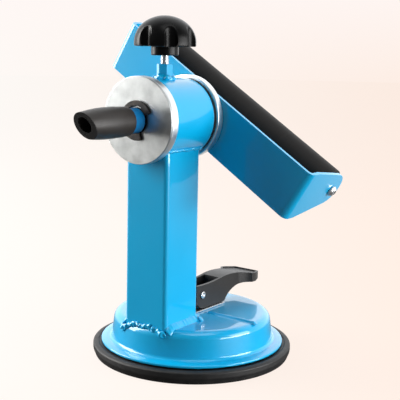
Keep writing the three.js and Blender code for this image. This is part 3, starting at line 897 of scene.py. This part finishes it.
def end_screw(node, side):
    """A button-head screw with a hexagon socket, its shank through the flange."""
    low, high = span(node, ARM)
    flange = BRACKET[1].x if side > 0 else BRACKET[0].x
    head_top = abs((high.x if side > 0 else low.x) - flange)
    head = (high.z - low.z) / 2
    shank = 1.9
    length = high.x - low.x - head_top
    socket = 1.4
    socket_depth = 1.2
    rim = socket + 0.25
    profile = rounded(
        [
            (0, -length),
            (shank, -length, 0.4),
            (shank, 0.3, 0.1),
            (head, 0.3, 0.3),
            (head, head_top - 1.5, 0.5),
            (head - 0.9, head_top - 0.2, 0.9),
            (rim + 0.3, head_top, 0.3),
            (rim, head_top),
        ]
    )
    shape = turned(profile, 48)
    rim_edges = [edge for edge in shape.edges if edge.is_boundary]
    hexagon = bmesh.ops.create_circle(
        shape,
        segments=6,
        radius=socket,
        cap_ends=False,
        matrix=Matrix.Translation((0, 0, head_top - 0.1)),
    )["verts"]
    hexagon_edges = [edge for edge in shape.edges if set(edge.verts) <= set(hexagon)]
    bmesh.ops.bridge_loops(shape, edges=rim_edges + hexagon_edges)
    sunk = bmesh.ops.extrude_edge_only(shape, edges=hexagon_edges)["geom"]
    sunk_verts = [item for item in sunk if isinstance(item, bmesh.types.BMVert)]
    bmesh.ops.translate(shape, vec=(0, 0, -socket_depth), verts=sunk_verts)
    floor_edges = [edge for edge in shape.edges if edge.is_boundary]
    bmesh.ops.holes_fill(shape, edges=floor_edges, sides=0)
    bmesh.ops.recalc_face_normals(shape, faces=shape.faces)
    outwards = ALONG_X if side > 0 else Matrix.Rotation(math.radians(-90), 4, "Y")
    place = ARM @ ROLLER_PLACE @ Matrix.Translation((flange, 0, 0)) @ outwards
    name = "button_screw_right" if side > 0 else "button_screw_left"
    finished(name, shape, place, "arm", SCREW_ZINC, [node])


# ---------------------------------------------------------------- weld beads


CRUMPLE_PITCH = 0.5  # creases per millimetre


def weld_bead(name, route, drop, body, seed, wobble=0.15, lean=HERE, voxel=0.32, crumple=0.0):
    """Overlapping drops of metal along a route, fused into one bead.

    Drop gives their three half lengths, wobble how far each strays and lean how they are turned.
    Crumple is how far, in millimetres, the fused skin is pushed in and out.
    """
    rolls = random.Random(seed)
    shape = bmesh.new()
    for point in route:
        jitter = Vector([rolls.uniform(-1, 1) * wobble for _ in range(3)])
        size = 1 + rolls.uniform(-1, 1) * wobble * 0.45
        place = Matrix.Translation(Vector(point) + jitter) @ lean @ Matrix.Diagonal((*drop, 1))
        bmesh.ops.create_icosphere(shape, subdivisions=2, radius=size, matrix=place)
    mesh = bpy.data.meshes.new(name + "_drops")
    shape.to_mesh(mesh)
    shape.free()
    drops = bpy.data.objects.new(name + "_drops", mesh)
    bpy.context.scene.collection.objects.link(drops)
    fuse = drops.modifiers.new("fuse", "REMESH")
    fuse.mode = "VOXEL"
    fuse.voxel_size = voxel
    flow = drops.modifiers.new("flow", "SMOOTH")
    flow.iterations = 2
    flow.factor = 0.5
    fused = bpy.data.meshes.new_from_object(drops.evaluated_get(bpy.context.evaluated_depsgraph_get()))
    bead = bmesh.new()
    bead.from_mesh(fused)
    for vertex in bead.verts:
        vertex.co += vertex.normal * crumple * noise.noise(vertex.co * CRUMPLE_PITCH)
    bpy.data.objects.remove(drops)
    bpy.data.meshes.remove(mesh)
    bpy.data.meshes.remove(fused)
    finished(name, bead, HERE, body, WELD_BLUE, crease=180)


def run(start, end, spacing):
    """Evenly spaced points from start to end."""
    start, end = Vector(start), Vector(end)
    steps = max(1, round((end - start).length / spacing))
    return [start.lerp(end, k / steps) for k in range(steps + 1)]


def on_cap(points, lift=0.0):
    """The same points, raised to the cap's top."""
    return [(p.x, p.y, cap_shoulder_height(math.hypot(p.x, p.y)) + lift) for p in points]


def on_drum(points):
    """The same points, raised to the drum's underside."""
    return [(p.x, p.y, saddle_height(p.x)) for p in points]


def foot_welds():
    """Beads round the column's foot: untidy in front, hooked fillets at the sides, a plain one behind."""
    front = COLUMN_Y - COLUMN_HALF
    back = COLUMN_Y + COLUMN_HALF
    side = COLUMN_HALF
    stand_off = 0.9
    rough = on_cap(run((-side - 1.4, front - 0.3, 0), (side - 1.5, front - 0.3, 0), 0.8), 0.6)
    weld_bead("foot_weld_front", rough, (1.6, 1.3, 1.7), "root", 11, wobble=0.35, voxel=0.28, crumple=1.0)
    for label, way, seed in (("right", 1, 12), ("left", -1, 13)):
        x = way * (side + stand_off)
        strip = run((x, front + 1.6, 0), (x, back + 0.6, 0), 0.7)
        hook = run((x + way * 1.2, back + 1.2, 0), (x + way * 3.2, back - 1.4, 0), 0.6)
        fillet = on_cap(strip, stand_off) + on_cap(hook, 0.1)
        lean = Matrix.Rotation(way * math.radians(45), 4, "Y")
        weld_bead("foot_weld_" + label, fillet, (3.3, 1.3, 1.0), "root", seed, wobble=0.12, lean=lean)
    fillet = on_cap(run((-side, back + stand_off, 0), (side, back + stand_off, 0), 0.8), stand_off)
    lean = Matrix.Rotation(math.radians(-45), 4, "X")
    weld_bead("foot_weld_back", fillet, (1.2, 2.4, 1.1), "root", 14, wobble=0.14, lean=lean)


def top_welds():
    """Thin beads where the column meets the drum."""
    front = COLUMN_Y - COLUMN_HALF
    back = COLUMN_Y + COLUMN_HALF
    side = COLUMN_HALF
    for label, x, seed in (("right", side, 15), ("left", -side, 16)):
        bead = on_drum(run((x, front + 0.2, 0), (x, back - 0.2, 0), 0.9))
        weld_bead("top_weld_" + label, bead, (1.0, 1.0, 1.0), "root", seed, wobble=0.32, voxel=0.26)
    for label, y, seed in (("front", front, 17), ("back", back, 18)):
        bead = on_drum(run((-side + 0.5, y, 0), (side - 0.5, y, 0), 0.8))
        weld_bead("top_weld_" + label, bead, (0.8, 0.8, 0.8), "root", seed, wobble=0.3, voxel=0.26)


def boss_weld():
    """A heavy untidy bead round the clamp boss, on the drum's crown."""
    around = 5.2
    drops = 26
    route = []
    for k in range(drops):
        angle = 2 * math.pi * k / drops
        x = around * math.cos(angle)
        y = CLAMP_Y + around * math.sin(angle)
        route.append((x, y, AXIS_Z + math.sqrt(DRUM_RADIUS**2 - x**2) + 0.5))
    weld_bead("boss_weld", route, (1.6, 1.6, 1.6), "root", 19, wobble=0.6, crumple=0.8)


def axle_weld():
    """The bead that joins the bar's end to the back of the bracket."""
    wall_back = BRACKET[0].y + BRACKET_SHEET
    around = AXLE_RADIUS + 0.4
    drops = 60
    angles = [2 * math.pi * k / drops for k in range(drops)]
    route = [(around * math.cos(a), wall_back + 0.1, AXIS_Z + around * math.sin(a)) for a in angles]
    weld_bead("axle_weld", route, (1.2, 1.2, 1.2), "arm", 20, wobble=0.15)


# ---------------------------------------------------------------- the stand


def carried_over():
    """CAD nodes that show their own mesh, mostly inside others, with a finish each."""
    for node, material in (
        ("lift_plate", STEEL),
        ("return_spring", STEEL),
        ("roller_core", STEEL),
        ("roller_rod", STEEL),
        ("roller_plug_left", NYLON),
        ("roller_plug_right", NYLON),
        ("bush_front", NYLON),
        ("clamp_pad", BRASS),
    ):
        mesh = frame["nodes"][node].data
        mesh.materials.clear()
        mesh.materials.append(material)


def the_stand():
    suction_pad()
    suction_cap()
    cam_and_lever()
    lever_pin()
    column()
    drum()
    rear_bush()
    discs()
    axle()
    retaining_clip()
    hand_grip()
    clamp_stud()
    clamp_boss()
    clamp_knob()
    bracket()
    roller_sleeve()
    end_screw("end_screw_right", 1)
    end_screw("end_screw_left", -1)
    foot_welds()
    top_welds()
    boss_weld()
    axle_weld()
    carried_over()


# ---------------------------------------------------------------- studio


CAMERA_AZIMUTH = math.radians(37)
SIDEWAYS = (math.cos(CAMERA_AZIMUTH), math.sin(CAMERA_AZIMUTH), 0)
BEHIND = (-math.sin(CAMERA_AZIMUTH), math.cos(CAMERA_AZIMUTH), 0)
CAMERA_REACH = 0.54  # along the floor, in metres
FLOOR_RADIUS = 4.0
CREAM_LEFT = (0.99, 0.955, 0.925)
CREAM_RIGHT = (0.98, 0.84, 0.76)
CREAM_ABOVE = (1.0, 0.93, 0.91)
CREAM_SPREAD = 2.3  # how fast the cream changes from left to right


def cream_across(wiring, slope):
    """The surround's cream, by how far off the middle a place lies."""
    share = wiring.ramp(slope * CREAM_SPREAD + 0.5, (0.0, 0.0), (1.0, 1.0))
    return wiring.mixed(share, CREAM_LEFT, CREAM_RIGHT)


def floor():
    """A pale floor that meets the backdrop in the same tone.

    To rays that don't come from the camera it is bright only behind the stand.
    """
    finish = Finish("pale_floor", Roughness=1.0, Specular_IOR_Level=0.0, Emission_Strength=0.96)
    cloud = finish.noise(400, 2)
    finish.set("Base Color", finish.mixed(cloud, (0.045, 0.04, 0.035), (0.05, 0.045, 0.04)))
    reach = finish.node("VectorMath", {"operation": "LENGTH"}, {0: finish.place}, "Value")
    slope = finish.maths("DIVIDE", finish.dot(finish.place, SIDEWAYS), reach + CAMERA_REACH)
    lit = finish.ramp(finish.dot(finish.place, BEHIND), (0.03, 0.0), (0.22, 1.0))
    bounced = finish.mixed(lit, (0.07, 0.07, 0.07), (1.0, 0.98, 0.95))
    seen = finish.node("LightPath", output="Is Camera Ray")
    finish.set("Emission Color", finish.mixed(seen, bounced, cream_across(finish, slope)))
    shape = bmesh.new()
    bmesh.ops.create_circle(shape, segments=96, radius=FLOOR_RADIUS, cap_ends=True)
    mesh = bpy.data.meshes.new("floor")
    shape.to_mesh(mesh)
    shape.free()
    mesh.materials.append(finish.material)
    surface = bpy.data.objects.new("floor", mesh)
    bpy.context.scene.collection.objects.link(surface)


def soft_box(name, azimuth, distance, height, size, watts, colour=(1, 1, 1)):
    """A rectangular soft box that faces the stand.

    Its azimuth is in degrees: 0 in front of the hand grip, 90 at the side of the arm's lower end.
    """
    turn = math.radians(azimuth)
    place = Vector((distance * math.sin(turn), -distance * math.cos(turn), height))
    aim = Vector((0, 0, AXIS_Z * MM * 0.7))
    data = bpy.data.lights.new(name, "AREA")
    data.shape = "RECTANGLE"
    data.size, data.size_y = size
    data.energy = watts
    data.color = colour
    lamp = bpy.data.objects.new(name, data)
    lamp.location = place
    lamp.rotation_euler = (aim - place).to_track_quat("-Z", "Y").to_euler()
    bpy.context.scene.collection.objects.link(lamp)


def backdrop():
    """A cream surround to look at. As a source of light it is bright behind the stand and dim elsewhere."""
    world = bpy.data.worlds.new("surround")
    bpy.context.scene.world = world
    wiring = Wiring(world)
    direction = wiring.node("TexCoord", output="Generated")
    slope = wiring.dot(direction, SIDEWAYS) * (FLOOR_RADIUS / (FLOOR_RADIUS + CAMERA_REACH))
    height = wiring.node("SeparateXYZ", {}, {"Vector": direction}, output="Z")
    haze_depth = 0.05
    raised = wiring.ramp(height + haze_depth, (0.0, 0.0), (0.12, 1.0))
    seen = wiring.mixed(raised, cream_across(wiring, slope), CREAM_ABOVE)
    glow = wiring.ramp(wiring.dot(direction, BEHIND), (0.0, 0.05), (0.3, 0.65), (0.9, 1.0))
    light = wiring.mixed(glow, (0.07, 0.08, 0.09), (1.6, 1.62, 1.65))
    camera_ray = wiring.node("LightPath", output="Is Camera Ray")
    colour = wiring.mixed(camera_ray, light, seen)
    surround = wiring.node("Background", inputs={"Color": colour, "Strength": 1.0})
    wiring.node("OutputWorld", inputs={"Surface": surround})


def camera():
    """A fixed camera, a little above the head, in front and to the right."""
    azimuth = CAMERA_AZIMUTH
    elevation = math.radians(9.24)
    roll = math.radians(1.11)
    distance = 0.55
    aim = Vector((0, 0, 0.1))
    back = Vector(
        (
            math.sin(azimuth) * math.cos(elevation),
            -math.cos(azimuth) * math.cos(elevation),
            math.sin(elevation),
        )
    )
    right = Vector((math.cos(azimuth), math.sin(azimuth), 0))
    up = back.cross(right)
    turn = Matrix((right, up, back)).transposed().to_4x4() @ Matrix.Rotation(roll, 4, "Z")
    data = bpy.data.cameras.new("camera")
    data.lens = 82.9
    data.sensor_width = 36
    data.shift_x = 0.01345
    data.shift_y = -0.0278
    data.clip_start = 0.01
    view = bpy.data.objects.new("camera", data)
    view.matrix_world = Matrix.Translation(aim + back * distance) @ turn
    bpy.context.scene.collection.objects.link(view)
    bpy.context.scene.camera = view


def studio():
    """Soft boxes at the left, the right and above, and a low strip at the right."""
    warm_white = (1.0, 0.98, 0.95)
    soft_box("left_box", -65, distance=0.95, height=0.45, size=(0.6, 0.9), watts=20, colour=warm_white)
    soft_box("right_box", 110, distance=1.0, height=0.30, size=(0.6, 0.6), watts=7.5)
    soft_box("low_right_box", 100, distance=0.8, height=0.07, size=(0.7, 0.12), watts=4.5)
    soft_box("top_box", 60, distance=0.35, height=1.15, size=(0.6, 0.6), watts=2.6)
    bpy.context.scene.view_settings.view_transform = "Standard"


the_stand()
floor()
backdrop()
studio()
camera()
